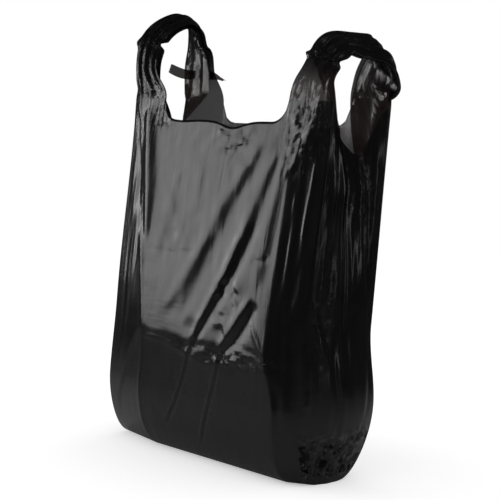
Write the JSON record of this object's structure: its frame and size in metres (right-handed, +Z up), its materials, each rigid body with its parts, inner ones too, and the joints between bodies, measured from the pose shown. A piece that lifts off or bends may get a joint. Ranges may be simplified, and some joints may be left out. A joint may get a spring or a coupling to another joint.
{
  "type": "plastic carrier bag",
  "caption": "Thin black film carrier bag standing open: gusseted sides, cut-out mouth and looped handles that are part of the film.",
  "frame": {"origin": "middle of the flat underside of the base, where the bag rests", "axes": "+Z up through the mouth, -Y out of the front panel, +X toward the lower of the two handles"},
  "size_m": [0.3353, 0.129, 0.4677],
  "materials": {
    "black_film": "glossy thin black polyethylene film, brownish where one layer is lit from behind"
  },
  "bodies": {
    "root": {"carrier_bag": "black_film"}
  },
  "joints": []
}
